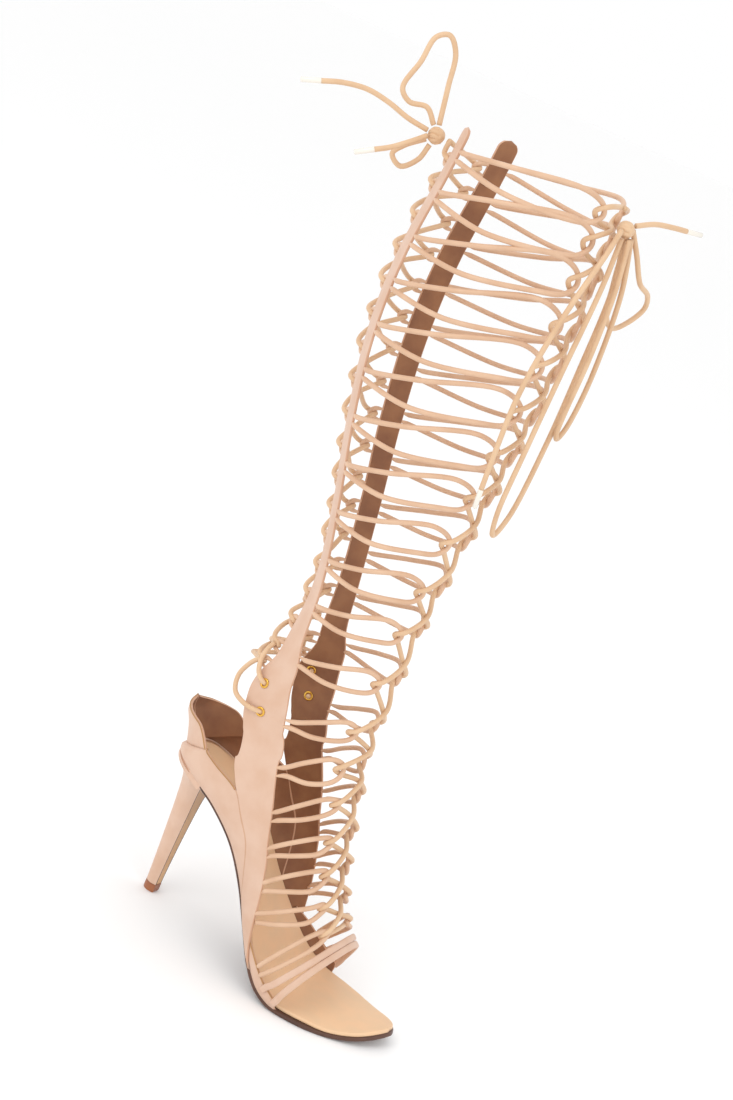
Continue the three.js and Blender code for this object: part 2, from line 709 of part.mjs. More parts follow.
backNet = backNet.add(tube(smooth([
  around(backLevels[0], -edge("back")(backLevels[0]) + 1, BACK_OUT), around(9.9, -128, BACK_OUT + 1), ankleBow,
  around(9.9, 128, BACK_OUT + 1), around(backLevels[0], edge("back")(backLevels[0]) - 1, BACK_OUT),
], NET_STEPS + 1), NET_RADIUS, NET_SIDES));
addNode("back_lacing", largest(backNet.asOriginal().simplify(SIMPLER)), colours.cord);

// ---------------------------------------------------------------- bows
// Free cords: stations in millimetres from the middle of the knot.
function freeCord(name, knot, rows, count) {
  const stations = rows.map(([x, y, z]) => new THREE.Vector3(knot.x + x, knot.y + y, knot.z + z));
  const path = spaced(stations, count);
  addNode(name, tube(path, CORD / 2, CORD_SIDES), colours.cord);
  return path;
}

function aglet(name, path) {
  const last = path[path.length - 1];
  const along = last.clone().sub(path[path.length - 2]).normalize();
  const ends = [GAP, GAP + AGLET_LENGTH].map((h) => last.clone().addScaledVector(along, h));
  addNode(name, tube(ends, CORD / 2 + 0.2, 8), colours.clear);
}

function knotNode(name, at) {
  const shape = new THREE.IcosahedronGeometry(KNOT_RADIUS, 1);
  shape.translate(at.x, at.y, at.z);
  addNode(name, shape, colours.cord);
}

const frontKnot = new THREE.Vector3(112.5, 0, 540);
knotNode("front_knot", frontKnot);
freeCord("front_bow_long", frontKnot, [
  [1, -3, -5.5], [5, -10, -35], [6, -14, -90], [6, -14, -140], [5, -9, -186], [5, 1, -201],
  [6, 11, -188], [7, 14, -140], [7, 11, -90], [6, 6, -35], [1, 2, -6],
], 40);
freeCord("front_bow_second", frontKnot, [
  [4, 4.5, -4], [11, 10, -36], [13, 20, -88], [12, 23, -118], [11, 17, -131], [11, 9, -119],
  [12, 4, -78], [10, 0, -34], [5, -1, -4.5],
], 28);
freeCord("front_bow_side", frontKnot, [
  [2, 6.2, 1], [8, 15, -12], [13, 28, -27], [16, 43, -33], [15, 51, -42], [11, 45, -53],
  [7, 34, -59], [4, 24, -53], [2, 15, -32], [0.5, 6, -4],
], 20);
const sideEnd = freeCord("front_end_side", frontKnot, [
  [3, 4.5, 4], [10, 15, 9], [17, 26, 11], [23, 36, 12],
], 5);
aglet("front_aglet_side", sideEnd);
const longEnd = freeCord("front_end_long", frontKnot, [
  [0, -6.3, -1], [2, -20, -18], [-2, -30, -58], [-6, -33, -108], [-5, -31, -150], [-4, -29, -172],
], 20);
aglet("front_aglet_long", longEnd);

const backKnot = around(18.45, -158, BACK_OUT + 1.6 + CORD / 2 + GAP + KNOT_RADIUS + 0.4);
knotNode("back_knot", backKnot);
freeCord("back_bow_upper", backKnot, [
  [-1, 0, 6.3], [-4, -3, 29], [-7, -5, 48], [-13, -9, 56], [-19, -13, 52], [-21, -15, 36],
  [-24, -18, 18], [-19, -13, 12], [-10, -6, 13], [-4, -1, 5.2],
], 18);
const upperEnd = freeCord("back_end_upper", backKnot, [
  [-5.3, -3.4, 1], [-16, -12, 3], [-28, -20, 7], [-40, -28, 9], [-52, -37, 7], [-62, -44, 3],
], 9);
aglet("back_aglet_upper", upperEnd);
freeCord("back_bow_lower", backKnot, [
  [-5, -1, -4.2], [-14, -7, -13], [-18, -9, -20], [-12, -5, -25], [-4, -2, -17], [-1.5, -0.5, -6.4],
], 8);
const lowerEnd = freeCord("back_end_lower", backKnot, [
  [-3, -5.5, -2], [-8, -14, -9], [-15, -20, -16], [-22, -25, -21],
], 5);
aglet("back_aglet_lower", lowerEnd);

export default group;
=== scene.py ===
import math

import bmesh
import bpy
import numpy as np
from mathutils import Matrix, Vector


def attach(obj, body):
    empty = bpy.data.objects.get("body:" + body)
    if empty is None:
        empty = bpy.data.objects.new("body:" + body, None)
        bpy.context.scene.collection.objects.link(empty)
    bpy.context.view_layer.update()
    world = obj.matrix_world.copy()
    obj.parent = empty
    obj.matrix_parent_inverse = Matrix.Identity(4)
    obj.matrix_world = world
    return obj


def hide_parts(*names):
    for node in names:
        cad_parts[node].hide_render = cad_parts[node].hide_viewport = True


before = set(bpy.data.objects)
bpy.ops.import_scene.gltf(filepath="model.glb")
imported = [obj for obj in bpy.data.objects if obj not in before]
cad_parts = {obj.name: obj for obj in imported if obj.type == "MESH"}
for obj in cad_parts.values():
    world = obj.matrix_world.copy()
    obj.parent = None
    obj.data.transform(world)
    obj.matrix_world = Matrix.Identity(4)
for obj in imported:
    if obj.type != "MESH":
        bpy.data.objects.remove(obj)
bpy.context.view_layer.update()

# ---------------------------------------------------------------- outsole
# A thin leather sole, cut to the foot's outline and bent over the arch from
# the raised heel down to the ball. Its edge is inked dark brown.
SOLE_LINE = np.array([  # x, z of the underside, heel back to toe tip
    (-27, 109), (-5, 101.5), (18, 92), (40, 76), (60, 54), (78, 32), (92, 16), (104, 6),
    (116, 1), (127, 0), (140, 0), (153, 0), (166, 1.6), (178, 5), (187, 9),
], float)
OUTLINE = np.array([  # distance along the sole, half width lateral, half width medial
    (0, 0, 0), (1.5, 9, 9), (5, 16, 16), (12, 22, 22), (26, 26.5, 26.5), (50, 27, 26),
    (75, 26, 22.5), (100, 27.5, 21.5), (125, 32.5, 26), (150, 38.5, 33), (168, 41, 38.5),
    (186, 40, 40.5), (206, 35, 38.5), (222, 26.5, 33), (236, 16.5, 27), (243, 9, 22.5),
    (248, 2, 17.5), (250.4, -3, 13), (251.2, -6, 10),
])
FOOT_AHEAD = 10.0
OUTSOLE_THICK = 3.0
GAP = 0.3
METRES = 0.001


def along_table(keys, values, at):
    """Cubic through every (key, value): a row's slope is the line between its two neighbours,
    the end rows take the slope of their own span, and outside the table the end value holds."""
    at = np.asarray(at, float)
    i = np.searchsorted(keys[1:-1], at, side="left")
    before, after = np.maximum(i - 1, 0), np.minimum(i + 2, len(keys) - 1)
    span = keys[i + 1] - keys[i]
    f = np.clip((at - keys[i]) / span, 0, 1)
    chord = values[i + 1] - values[i]
    first = np.where(i == 0, chord,
                     (values[i + 1] - values[before]) / (keys[i + 1] - keys[before]) * span)
    last = np.where(i + 2 > len(keys) - 1, chord,
                    (values[after] - values[i]) / (keys[after] - keys[i]) * span)
    return ((2 * f**3 - 3 * f**2 + 1) * values[i] + (f**3 - 2 * f**2 + f) * first
            + (3 * f**2 - 2 * f**3) * values[i + 1] + (f**3 - f**2) * last)


def through(stations, steps):
    """Centripetal Catmull-Rom line through the stations, steps points from each to the next: a cubic
    on each span whose end slopes weigh the neighbouring spans by the root of their length."""
    p = np.asarray(stations, float)
    p = np.vstack([2 * p[0] - p[1], p, 2 * p[-1] - p[-2]])
    d = np.sqrt(np.maximum(np.linalg.norm(np.diff(p, axis=0), axis=1), 1e-6))[:, None]
    rise = np.diff(p, axis=0) / d
    chord = (p[2:] - p[:-2]) / (d[1:] + d[:-1])
    slope = rise[:-1] - chord + rise[1:]
    w = (np.arange(steps) / steps)[None, :, None]
    a, b = p[1:-2, None], p[2:-1, None]
    ma, mb = (slope[:-1] * d[1:-1])[:, None], (slope[1:] * d[1:-1])[:, None]
    line = ((2 * w**3 - 3 * w**2 + 1) * a + (w**3 - 2 * w**2 + w) * ma
            + (3 * w**2 - 2 * w**3) * b + (w**3 - w**2) * mb)
    return np.vstack([line.reshape(-1, p.shape[1]), p[-2]])


sole_run = through(SOLE_LINE, 40)
sole_run[:, 1] = np.maximum(sole_run[:, 1], 0)
sole_reach = np.r_[0, np.cumsum(np.linalg.norm(np.diff(sole_run, axis=0), axis=1))]
SOLE_END = OUTLINE[-1, 0]


def sole_point(p, y, h):
    """Point at arc length p of the sole line, y across it and h above its underside."""
    p, y, h = np.broadcast_arrays(np.asarray(p, float), y, h)
    u = np.clip(p / SOLE_END, 0, 1) * sole_reach[-1]
    x, z = (np.interp(u, sole_reach, sole_run[:, k]) for k in (0, 1))
    step = 1.2
    dx, dz = (np.interp(np.minimum(u + step, sole_reach[-1]), sole_reach, sole_run[:, k])
              - np.interp(np.maximum(u - step, 0), sole_reach, sole_run[:, k]) for k in (0, 1))
    long = np.hypot(dx, dz)
    return np.stack([x - dz / long * h + FOOT_AHEAD, y, z + dx / long * h], -1)


def sole_half(p, side):
    """Half width of the sole at p, side -1 lateral or 1 medial."""
    side = np.broadcast_to(side, np.shape(p))
    lateral, medial = (along_table(OUTLINE[:, 0], OUTLINE[:, k], p) for k in (1, 2))
    return np.where(np.asarray(p) <= 0, 0, np.where(side < 0, lateral, medial))


def piece(name, points, faces, material, replaces=(), slot=None):
    """One smooth mesh in metres from points in millimetres, riding with the shoe."""
    mesh = bpy.data.meshes.new(name)
    metres = np.asarray(points).reshape(-1, 3) * METRES
    mesh.from_pydata(metres.tolist(), [], [list(f) for f in faces])
    mesh.validate()
    mesh.polygons.foreach_set("use_smooth", [True] * len(mesh.polygons))
    for one in material if isinstance(material, (list, tuple)) else [material]:
        mesh.materials.append(one)
    made = bpy.data.objects.new(name, mesh)
    bpy.context.collection.objects.link(made)
    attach(made, "root")
    if replaces:
        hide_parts(*replaces)
    return made


def quads(rows, columns, round_rows=False, start=0):
    """Faces of a grid numbered row by row; round_rows closes each row on itself."""
    wide = columns if round_rows else columns - 1
    r, c = np.meshgrid(np.arange(rows - 1), np.arange(wide), indexing="ij")
    beside = (c + 1) % columns
    corners = [r * columns + c, r * columns + beside, (r + 1) * columns + beside, (r + 1) * columns + c]
    return np.stack(corners, -1).reshape(-1, 4) + start


def closed_tube(rows, columns, first_turned=True):
    """Faces of a tube of closed rows, with one face over each end. The two ends face away from each
    other: first_turned says which of them runs against its row's order."""
    first, last = list(range(columns)), list(range((rows - 1) * columns, rows * columns))
    ends = [first[::-1], last] if first_turned else [first, last[::-1]]
    return [*quads(rows, columns, True).tolist(), *ends]


def mended(made, gap=0.02):
    """Doubles merged within gap mm, and faces turned outward."""
    work = bmesh.new()
    work.from_mesh(made.data)
    bmesh.ops.remove_doubles(work, verts=work.verts, dist=gap * METRES)
    bmesh.ops.recalc_face_normals(work, faces=work.faces)
    work.to_mesh(made.data)
    work.free()
    return made


def linear(hex_colour):
    """A screen colour such as e3bfa6 as the three linear numbers that a shader takes."""
    parts = [int(hex_colour[i:i + 2], 16) / 255 for i in (0, 2, 4)]
    return [v / 12.92 if v <= 0.04045 else ((v + 0.055) / 1.055) ** 2.4 for v in parts]


def leather(name, colour, dark, rough=0.5, grain=0.12, sheen=0.1):
    """Leather: two tones mixed by a soft cloud in Object coordinates, with a fine pebble as bump."""
    made = bpy.data.materials.new(name)
    made.use_nodes = True
    nodes, links = made.node_tree.nodes, made.node_tree.links
    shader = nodes["Principled BSDF"]
    shader.inputs["Roughness"].default_value = rough
    shader.inputs["Sheen Weight"].default_value = sheen
    where = nodes.new("ShaderNodeTexCoord")
    cloud = nodes.new("ShaderNodeTexNoise")
    cloud.inputs["Scale"].default_value = 60
    cloud.inputs["Detail"].default_value = 4
    ramp = nodes.new("ShaderNodeValToRGB")
    ramp.color_ramp.elements[0].position = 0.35
    ramp.color_ramp.elements[1].position = 0.65
    ramp.color_ramp.elements[0].color = [*linear(dark), 1]
    ramp.color_ramp.elements[1].color = [*linear(colour), 1]
    pebble = nodes.new("ShaderNodeTexNoise")
    pebble.inputs["Scale"].default_value = 900
    pebble.inputs["Detail"].default_value = 3
    bump = nodes.new("ShaderNodeBump")
    bump.inputs["Strength"].default_value = grain
    bump.inputs["Distance"].default_value = 0.0004
    links.new(where.outputs["Object"], cloud.inputs["Vector"])
    links.new(where.outputs["Object"], pebble.inputs["Vector"])
    links.new(cloud.outputs["Fac"], ramp.inputs["Fac"])
    links.new(ramp.outputs["Color"], shader.inputs["Base Color"])
    links.new(pebble.outputs["Fac"], bump.inputs["Height"])
    links.new(bump.outputs["Normal"], shader.inputs["Normal"])
    return made


def sole_slab(low, high, inset, p_from, p_to, rows=210, corner=1.3, narrowest=1.4, edge_points=9):
    """Slab bent along the sole line: each row is a flat oblong with round ends of radius corner,
    from low to high above the underside, inset(p) in from the outline."""
    near_heel, near_toe = np.array([0.3, 0.8, 1.6, 2.6, 4.0]), np.array([0.2, 0.5, 1.0, 1.8])
    p = p_from + (p_to - p_from) * np.linspace(0, 1, rows)
    p = np.unique(np.r_[p, p_from + near_heel, p_to - near_toe])
    medial, lateral = sole_half(p, 1) - inset(p), -sole_half(p, -1) + inset(p)
    middle, half = (medial + lateral) / 2, np.maximum((medial - lateral) / 2, narrowest)
    round_off = min(corner, (high - low) / 2)
    turn = np.radians(np.r_[np.linspace(-90, 90, edge_points), np.linspace(90, 270, edge_points)])
    way = np.repeat([1.0, -1.0], edge_points)
    y = middle[:, None] + way * (half[:, None] - round_off) + round_off * np.cos(turn)
    h = (low + high) / 2 + ((high - low) / 2) * np.sin(turn)
    return sole_point(p[:, None], y, h[None, :]), closed_tube(len(p), 2 * edge_points)


sole_ink = leather("sole_edge_ink", "5d3b2b", "4a2d20", rough=0.45)
SEAT_END = 34.0
SEAT_TUCK = 1.2
SOLE_START = 1.4


def outsole_inset(p):
    """The sole is tucked behind the heel cover at the seat, and flush with the outline ahead of it."""
    return SEAT_TUCK * np.clip((SEAT_END + 3 - p) / 4, 0, 1)


mended(piece("outsole_leather", *sole_slab(0, OUTSOLE_THICK, outsole_inset, SOLE_START, SOLE_END),
             sole_ink, ["outsole"], "outsole"))

# ---------------------------------------------------------------- insole
# A pale leather sock glued over a thin board. It reaches nearly to the sole's
# edge at the open toe, and lies inside the upper behind.
INSOLE_THICK = 2.7
WALL = 1.8
SKIN_CLEAR = 0.2
INSET = WALL + SKIN_CLEAR
TOE_INSET = 0.9
INSOLE_START = 4.0
insole_sock = leather("insole_sock", "e6c29b", "edc49a", rough=0.55, grain=0.08)


def insole_inset(p):
    """Inside the wall behind, and TOE_INSET in from the sole's edge at the open toe."""
    behind = INSET + GAP + 0.3
    return behind + (TOE_INSET - behind) * np.clip((p - 206) / 14, 0, 1)


insole_slab = sole_slab(OUTSOLE_THICK, OUTSOLE_THICK + GAP + INSOLE_THICK, insole_inset,
                        INSOLE_START, SOLE_END - TOE_INSET)
mended(piece("insole_leather", *insole_slab, insole_sock, ["insole"], "insole"))

# ---------------------------------------------------------------- heel
# A tall stiletto, moulded and wrapped in the upper's leather. The back is
# round, the breast is flat and tan, with a dark inked line round its edge.
HEEL = np.array([  # back x, back z, front x, front z, half width, seat to tip
    (-17.1, 110.6, 15.6, 99.4, 26.6), (-16.2, 108.6, 15.2, 97.6, 25.6),
    (-13.4, 103, 12.5, 93.5, 20), (-11.6, 96, 10, 89, 14), (-10, 86, 8.2, 82, 9.8),
    (-8.6, 70, 7, 68, 7.5), (-7, 45, 5.8, 44, 6), (-5.6, 20, 4.9, 20, 5), (-5, 6.3, 4.6, 6.3, 4.7),
])
HEEL_KEYS = np.arange(len(HEEL), dtype=float)
nude = leather("nude_leather", "dab8a1", "d4ae94", rough=0.48, grain=0.1)
breast_tan = leather("breast_tan", "dba86e", "d29c62", rough=0.4)
HEEL_MIDDLE = 0.35
BREAST_WIDE = 0.8
BACK_POINTS = 25
INK_WIDE = 0.9
INK_TOP_ROWS = 10
SHARP_FROM = math.radians(38)


def heel_rings(rows):
    """D-shaped rings: a half ellipse behind the widest point, and a flat breast BREAST_WIDE of the
    width ahead of it. The breast's second and last but one points carry the inked line's edge."""
    bx, bz, fx, fz, half = (along_table(HEEL_KEYS, HEEL[:, k], rows)[:, None] for k in range(5))
    mx, mz = fx + (bx - fx) * HEEL_MIDDLE, fz + (bz - fz) * HEEL_MIDDLE
    turn = np.radians(np.linspace(-90, 90, BACK_POINTS))
    back = np.stack([mx + (bx - mx) * np.cos(turn), half * np.sin(turn),
                     mz + (bz - mz) * np.cos(turn)], -1)
    edge = BREAST_WIDE * half
    line = np.minimum(INK_WIDE, edge * 0.3)
    tan = edge - line
    across = np.concatenate([edge, tan, tan * 0.4, -tan * 0.4, -tan, -edge], 1)
    front = np.stack([fx + 0 * across, across, fz + 0 * across], -1)
    return np.concatenate([back, front], 1)


rings = heel_rings(np.linspace(0, len(HEEL) - 1, 121))
ring_count, ring_points = rings.shape[:2]
heel = piece("heel_leather", rings, closed_tube(ring_count, ring_points, False),
             [nude, breast_tan, sole_ink], ["heel"], "leather")
row_of, column_of = np.divmod(quads(ring_count, ring_points, True)[:, 0], ring_points)
first, last = BACK_POINTS, BACK_POINTS + 4
on_breast = (column_of >= first) & (column_of <= last)
inked = (column_of == first) | (column_of == last) | (row_of < INK_TOP_ROWS)
tone = np.where(on_breast, np.where(inked, 2, 1), 0)
heel.data.polygons.foreach_set("material_index", [*tone.tolist(), 0, 0])
heel.data.set_sharp_from_angle(angle=SHARP_FROM)

# ---------------------------------------------------------------- heel tip
# The top-lift: a hard brown plastic pad, 6 mm deep, pinned into the heel's end
# and ground flush with it.
tip_brown = leather("top_lift", "a5653f", "94573a", rough=0.35, grain=0.03, sheen=0)
LIFT_ROWS = [(6.0, 0.0), (5.6, 0.12), (0.5, 0.12), (0.12, 0.0), (0.0, -0.35)]  # height, proud by
bottom = heel_rings(HEEL_KEYS[-1:])[0]
centre, spread = bottom.mean(0)[:2], bottom[:, :2] - bottom.mean(0)[:2]
lift = np.stack([np.c_[centre + spread * (1 + proud_by / HEEL[-1, 4]), np.full(len(bottom), height)]
                 for height, proud_by in LIFT_ROWS])
top_lift = mended(piece("heel_top_lift", lift, closed_tube(len(LIFT_ROWS), ring_points, False),
                        tip_brown, ["heel_tip"], "heel_tip"))
top_lift.data.set_sharp_from_angle(angle=SHARP_FROM)

# ---------------------------------------------------------------- heel cover
# The heel's leather is pulled up over the sole's edge at the seat, and its
# upper edge turns in between the counter and the insole.
COVER_ROWS = np.array([  # height over the sole's underside, distance out from the outline
    (-2.6, -0.9), (-2.0, 0.1), (-1.0, 0.3), (0.5, 0.35), (2.0, 0.3), (3.5, 0.05),
    (4.6, -0.7), (5.4, -2.4), (5.8, -6.0),
])
CROWDED_BEHIND = 1.7
SEAT_MIDDLE = (5, 0, 103)
q = np.linspace(-SEAT_END, SEAT_END, 181)
q = np.sign(q) * SEAT_END * (np.abs(q) / SEAT_END) ** CROWDED_BEHIND
side_of = np.where(q < 0, -1.0, 1.0)
rim = sole_point(np.abs(q), side_of * sole_half(np.abs(q), side_of), 0)
outward = np.cross(np.gradient(rim, axis=0), (0, 0, 1.0))
outward /= np.linalg.norm(outward, axis=1)[:, None]
outward *= np.sign((outward * (rim - SEAT_MIDDLE)).sum(1))[:, None]
upright = sole_point(5.0, 0, 1) - sole_point(5.0, 0, 0)
cover = (rim[:, None] + upright * COVER_ROWS[None, :, 0, None]
         + outward[:, None] * COVER_ROWS[None, :, 1, None])
mended(piece("heel_cover", cover, quads(len(q), len(COVER_ROWS)), nude, (), "leather"))

# ---------------------------------------------------------------- upper
# Two nude leather quarters that narrow into tall side stays, with a low heel
# counter behind a V notch. The pieces are cut from 1.8 mm leather, lined, with
# painted edges; the lining's brown is partly its own colour and partly painted
# shade for the inside of the walls.
FORM = np.array([  # sole p, back x, back z, front x, front z, half width, depth of widest, boxy
    (222, 0, 0, 172, 26, 36, 0.7, 1), (200, 0, 0, 152, 34, 40.5, 0.7, 1),
    (178, 0, 0, 134, 45, 42.5, 0.7, 1), (158, 0, 0, 121, 60, 41, 0.7, 1),
    (132, 0, 0, 111, 82, 37.5, 0.66, 1), (105, 0, 0, 103, 107, 35, 0.62, 1),
    (72, 0, 0, 97, 133, 34, 0.6, 0.7), (36, 0, 0, 93, 153, 33, 0.58, 0.3),
    (0, -24, 112, 91, 168, 31, 0.56, 0), (0, -33, 139, 90, 182, 31, 0.54, 0),
    (0, -17, 172, 89, 197, 32, 0.52, 0), (0, 3, 204, 88, 214, 32, 0.5, 0),
    (0, 13, 238, 87, 239, 31.5, 0.5, 0), (0, 13, 272, 87, 272, 33, 0.5, 0),
    (0, 4, 317, 89, 317, 39, 0.5, 0), (0, -9, 367, 92, 367, 46, 0.5, 0),
    (0, -19, 420, 95, 420, 52, 0.5, 0), (0, -21, 473, 95, 473, 53.5, 0.5, 0),
    (0, -15, 526, 91, 526, 52, 0.5, 0), (0, -12, 560, 89, 560, 51, 0.5, 0),
])
QUARTER = np.array([  # section, front edge, back edge, counter's edge of the notch, in degrees
    (3.15, 178, 180, 180), (3.5, 150, 180, 180), (4, 120, 180, 180), (4.5, 102, 180, 180),
    (5.2, 89, 140, 140), (5.8, 85, 119, 119), (6.4, 79, 114, 114), (7, 74, 107, 107),
    (7.5, 70, 99, 113), (8, 67, 93, 119), (8.6, 68, 92, 136), (8.9, 70, 94, 153),
    (9.1, 71, 96.5, 180), (9.6, 76, 106, 180), (10.1, 83, 117, 180),
    (10.6, 92, 126, 180), (11.1, 101, 130, 180), (11.6, 113, 139, 180), (12.2, 121, 146, 180),
    (13.2, 128, 151, 180), (14.2, 131, 151.5, 180), (15.4, 132.5, 150.5, 180), (16.6, 133, 149.5, 180),
    (17.8, 132.5, 148.5, 180), (18.9, 132, 148, 180),
])
RIM = np.array([  # section, top edge of the low side pieces, in degrees
    (1.6, 176), (1.75, 124), (2, 112), (2.5, 113), (3, 118), (3.5, 128), (4, 146),
], float)
section_keys = np.arange(len(FORM), dtype=float)


def form_base(s, t, side):
    """Point on the form of foot and leg at section s and angle t, side -1 or 1. The front half of a
    section is a half ellipse from the widest line to the front point; the back half runs to the
    back point or the sole's edge, keeping its width by the power 1 + 0.6 boxy of sin t."""
    s, t, side = (np.array(v, float) for v in np.broadcast_arrays(s, t, side))
    p, bx, bz, fx, fz, wide, deep, boxy = (along_table(section_keys, FORM[:, k], s) for k in range(8))
    p = np.maximum(p, 0)
    seat = sole_point(np.maximum(p, INSET), 0, OUTSOLE_THICK + GAP)
    free = np.stack([bx + FOOT_AHEAD, 0 * bx, bz], -1)
    blend = np.where(s > 8, np.maximum(0, 1 - (s - 8) / 0.5) ** 2, 1)[..., None]
    back = free + (seat - free) * blend
    front = np.stack([fx + FOOT_AHEAD, 0 * fx, fz], -1)
    middle = front + (back - front) * deep[..., None]
    c, sine = np.cos(np.radians(t)), np.maximum(np.sin(np.radians(t)), 0)
    ahead = (c >= 0)[..., None]
    at = np.where(ahead, middle + (front - middle) * c[..., None],
                  middle - (back - middle) * c[..., None])
    edge = np.maximum(sole_half(p, side) - INSET, 0)
    rear = edge + (wide - edge) * sine ** (1 + 0.6 * np.maximum(boxy, 0))
    at[..., 1] = side * np.where(c >= 0, wide * sine, rear)
    return at


def form_normal(s, t, side):
    """Outward normal of the form: the cross product of its two slopes, or at the sole's edge
    the normal of the outline."""
    s, t, side = (np.array(v, float) for v in np.broadcast_arrays(s, t, side))
    held = np.clip(t, 1, 179)
    up = form_base(s + 0.02, held, side) - form_base(s - 0.02, held, side)
    round_ = form_base(s, held + 0.6, side) - form_base(s, held - 0.6, side)
    normal = np.cross(round_, up) * side[..., None]
    normal /= np.maximum(np.linalg.norm(normal, axis=-1), 1e-9)[..., None]
    normal[..., 1] = np.where((t > 179) | (t < 1), 0, normal[..., 1])
    p = np.maximum(along_table(section_keys, FORM[:, 0], s), 0)
    slope = np.where(p < 0.5, 50, sole_half(p + 0.5, side) - sole_half(np.maximum(p - 0.5, 0), side))
    along = sole_point(p + 1, 0, 0) - sole_point(p, 0, 0)
    along /= np.maximum(np.linalg.norm(along, axis=-1), 1e-9)[..., None]
    at_edge = along * -slope[..., None]
    at_edge[..., 1] += side
    normal = np.where(((t > 179) & (s <= 8))[..., None], at_edge, normal)
    return normal / np.maximum(np.linalg.norm(normal, axis=-1), 1e-9)[..., None]


def form_point(s, t, side, out):
    """Point out millimetres off the form."""
    s, t, side, out = (np.array(v, float) for v in np.broadcast_arrays(s, t, side, out))
    return form_base(s, t, side) + form_normal(s, t, side) * out[..., None]


def around(s, a, out):
    """form_point at a signed angle: positive medial, negative lateral."""
    a = np.asarray(a, float)
    return form_point(s, np.abs(a), np.where(a < 0, -1.0, 1.0), out)


def edge_line(k):
    """Column k of QUARTER as a function of the section."""
    return lambda s: np.minimum(along_table(QUARTER[:, 0], QUARTER[:, k], s), 180)


front_edge, back_edge, notch_edge = edge_line(1), edge_line(2), edge_line(3)


def proud(s):
    """The quarters stand up to 1.1 mm proud where they lie over the low side pieces."""
    return 1.1 * np.clip(5.2 - np.asarray(s, float), 0, 1)


def always(s):
    """Free edge all along."""
    return np.ones(len(s), bool)


EDGE_ROUND = 0.8
EDGE_COLUMNS = 3


def rounding(d):
    """Share of the wall's thickness at d millimetres from a free edge: a quarter circle."""
    return np.sqrt(np.clip(1 - (1 - np.clip(d / EDGE_ROUND, 0, 1)) ** 2, 0, 1))


def leather_strip(s, t_from, t_to, side, middle, half, free_from, free_to, ends=(False, False),
                  across=14):
    """A wall between two edge lines: the angle runs from t_from to t_to, and the wall's two faces
    close on each other over the last EDGE_ROUND before a free edge."""
    t_from, t_to = t_from + 0 * s, t_to + 0 * s
    a, b = form_base(s, t_from, side), form_base(s, t_to, side)
    wide = np.maximum(np.linalg.norm(a - b, axis=1), 0.6)[:, None]
    near = np.array([0, 0.06, 0.22, 0.48, 0.8, 1.3])
    inner = np.linspace(0, 1, across)[1:-1]
    low = np.minimum(near / wide, 0.5)
    span = (1 - 2 * near[-1] / wide).clip(0.02, 1)
    cross = np.concatenate([low, near[-1] / wide + span * inner[None, :], 1 - low[:, ::-1]], 1)
    cross = np.maximum.accumulate(cross.clip(0, 1), axis=1)
    open_from, open_to = free_from(s)[:, None], free_to(s)[:, None]
    shape = np.minimum(np.where(open_from, rounding(cross * wide), 1),
                       np.where(open_to, rounding((1 - cross) * wide), 1))
    if ends[0]:
        shape[0] = 0
    if ends[1]:
        shape[-1] = 0
    t = t_from[:, None] + (t_to - t_from)[:, None] * cross
    m = middle(s)[:, None]
    outer = form_point(s[:, None], t, side, m + half * shape)
    inside = form_point(s[:, None], t, side, m - half * shape)
    return outer, inside


def walls(strips):
    """Points, faces and tones of several strips: tone 0 outside, 1 lining (a brown partly painted
    shade), 2 painted edge.
    """
    points, faces, tones, start = [], [], [], 0
    for outer, inside in strips:
        rows, columns = outer.shape[:2]
        for grid, tone in ((outer, 0), (inside, 1)):
            f = quads(rows, columns, start=start)
            c = (f[:, 0] - start) % columns
            rim_face = (c < EDGE_COLUMNS) | (c >= columns - 1 - EDGE_COLUMNS)
            points.append(grid.reshape(-1, 3))
            faces.append(f if tone else f[:, ::-1])
            tones.append(np.where(rim_face, 2, tone))
            start += rows * columns
    return np.vstack(points), np.vstack(faces).tolist(), np.concatenate(tones)


def tone_piece(name, strips, replaces):
    """A piece made of walls, with its tones as material indexes, mended into closed shells."""
    points, faces, tones = walls(strips)
    made = piece(name, points, faces, [nude, lining_shade, painted_edge], replaces, "leather")
    if len(made.data.polygons) == len(tones):
        made.data.polygons.foreach_set("material_index", tones.astype(int).tolist())
    return mended(made, 0.03)


# Inner faces of the walls: a brown that is partly the lining's own colour and partly painted shade
# inside the quarters and low side pieces.
lining_shade = leather("lining_brown_and_painted_shade", "9a6a47", "86583b", rough=0.6)
painted_edge = leather("painted_edge", "cfa385", "c6987a", rough=0.45)
TOP = 18.9
NOTCH = 7.0
CUP_TOP = 9.1
HALF_WALL = WALL / 2
STAND_OFF = HALF_WALL + SKIN_CLEAR


def quarter_middle(s):
    """How far off the form the middle of the quarter's wall lies."""
    return proud(s) + STAND_OFF


sections = np.linspace(3.15, TOP, 316)
tip_round = np.clip((TOP - sections) / 0.2, 0, 1)
tip_round = np.sqrt(np.clip(1 - (1 - tip_round) ** 2, 0, 1))
strips = []
for side in (-1.0, 1.0):
    front, back = front_edge(sections), back_edge(sections)
    middle_t = (front + back) / 2
    strips.append(leather_strip(
        sections, middle_t + (front - middle_t) * tip_round, middle_t + (back - middle_t) * tip_round,
        side, quarter_middle, HALF_WALL, always,
        lambda s: (s > NOTCH - 0.01) | (s < 4.51), ends=(True, True)))
    cup = sections[(sections > 4.49) & (sections < CUP_TOP + 0.01)]
    strips.append(leather_strip(
        cup, notch_edge(cup), np.full(len(cup), 180.0), side, quarter_middle, HALF_WALL,
        lambda s: s > NOTCH + 0.01, lambda s: s <= 8.0, ends=(False, True)))
tone_piece("quarters_and_counter", strips, ["upper"])

